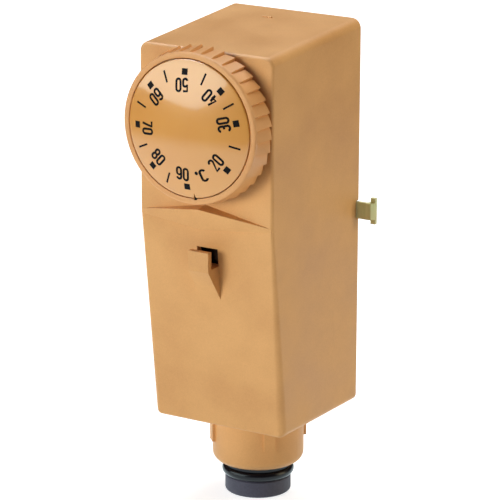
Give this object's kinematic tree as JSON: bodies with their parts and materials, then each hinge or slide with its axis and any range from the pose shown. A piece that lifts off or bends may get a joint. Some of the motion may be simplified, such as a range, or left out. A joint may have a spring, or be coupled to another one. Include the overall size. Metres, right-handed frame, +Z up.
{
  "type": "strap-on pipe thermostat",
  "caption": "Strap-on pipe thermostat: deep case with a numbered dial knob, pointed visor, cover release slot, strap lugs and a cable gland.",
  "frame": {"origin": "middle of the contact plate's face, which touches the pipe", "axes": "+Z up along the pipe, +Y from the contact face towards the pipe, dial facing -Y, +X to the right as seen from the front"},
  "size_m": [0.0486, 0.0534, 0.1236],
  "materials": {
    "orange_case": "fine-grained moulded plastic",
    "orange_knob": "smooth moulded plastic",
    "dial_print": "glossy printed disc",
    "gland_black": "dull black plastic",
    "seal_rubber": "matt rubber",
    "yellow_zinc": "yellow passivated zinc plate",
    "bright_steel": "bright zinc plated steel",
    "spring_steel": "drawn spring wire",
    "brass": "turned and punched brass",
    "bimetal": "rolled bimetal sheet",
    "switch_brown": "dark phenolic moulding",
    "white_nylon": "natural nylon"
  },
  "bodies": {
    "case": {"cover": "orange_case", "base": "orange_case", "strap_plate": "yellow_zinc", "contact_plate": "brass", "contact_rivets": "bright_steel", "bracket": "yellow_zinc", "bracket_rivets": "bright_steel", "bush": "brass", "bush_nut": "bright_steel", "range_spring": "spring_steel", "lever_pin": "bright_steel", "bimetal": "bimetal", "bimetal_rivets": "brass", "switch_body": "switch_brown", "switch_lid": "switch_brown", "snap_blade": "brass", "fixed_contacts": "brass", "terminals": "brass", "terminal_screws": "bright_steel", "switch_bolts": "bright_steel", "switch_bolt_nuts": "bright_steel", "earth_screw": "bright_steel", "earth_washer": "yellow_zinc", "catch_pin": "bright_steel", "catch_spring": "spring_steel", "gland_seal": "seal_rubber"},
    "dial": {"knob": "orange_knob", "dial_disc": "dial_print", "spindle": "bright_steel", "spindle_clip": "spring_steel", "stop_washer": "bright_steel"},
    "adjuster": {"adjusting_nut": "brass"},
    "lever": {"lever": "bright_steel"},
    "pusher": {"push_pin": "white_nylon"},
    "button": {"switch_button": "white_nylon"},
    "catch": {"cover_catch": "switch_brown"},
    "gland_slide": {"gland_washer": "bright_steel"},
    "gland": {"gland_nut": "gland_black"}
  },
  "joints": [
    {"name": "dial_turn", "type": "hinge", "parent": "case", "child": "dial", "pos_m": [0, -0.04345, 0.0289], "axis": [0, -1, 0], "range_deg": [0, 307]},
    {"name": "adjuster_travel", "type": "slide", "parent": "case", "child": "adjuster", "axis": [0, 1, 0], "range_m": [0, 0.0007], "deforming": ["range_spring"]},
    {"name": "lever_swing", "type": "hinge", "parent": "case", "child": "lever", "pos_m": [0, -0.018, 0.041], "axis": [-1, 0, 0], "range_deg": [0, 2], "stiffness_Nm_per_rad": 0.05, "springref_deg": -5.73},
    {"name": "pusher_travel", "type": "slide", "parent": "case", "child": "pusher", "axis": [0, -1, 0], "range_m": [0, 0.0008], "deforming": ["bimetal"]},
    {"name": "button_press", "type": "slide", "parent": "case", "child": "button", "axis": [0, -1, 0], "range_m": [0, 0.0015], "deforming": ["snap_blade"]},
    {"name": "catch_press", "type": "hinge", "parent": "case", "child": "catch", "pos_m": [0, -0.0355, -0.0005], "axis": [1, 0, 0], "range_deg": [0, 20], "stiffness_Nm_per_rad": 0.0005, "springref_deg": -11.46},
    {"name": "gland_travel", "type": "slide", "parent": "case", "child": "gland_slide", "axis": [0, 0, 1], "range_m": [-0.0031, 0.0008], "deforming": ["gland_seal"]},
    {"name": "gland_turn", "type": "hinge", "parent": "gland_slide", "child": "gland", "pos_m": [0, -0.0179, -0.066], "axis": [0, 0, 1], "range_deg": [-720, 180]}
  ],
  "couplings": [
    {"joint": "adjuster_travel", "follows": "dial_turn", "m_per_rad": 0.00012732},
    {"joint": "pusher_travel", "follows": "lever_swing", "m_per_rad": 0.021},
    {"joint": "button_press", "follows": "lever_swing", "m_per_rad": 0.041},
    {"joint": "gland_travel", "follows": "gland_turn", "m_per_rad": 0.00023873}
  ]
}
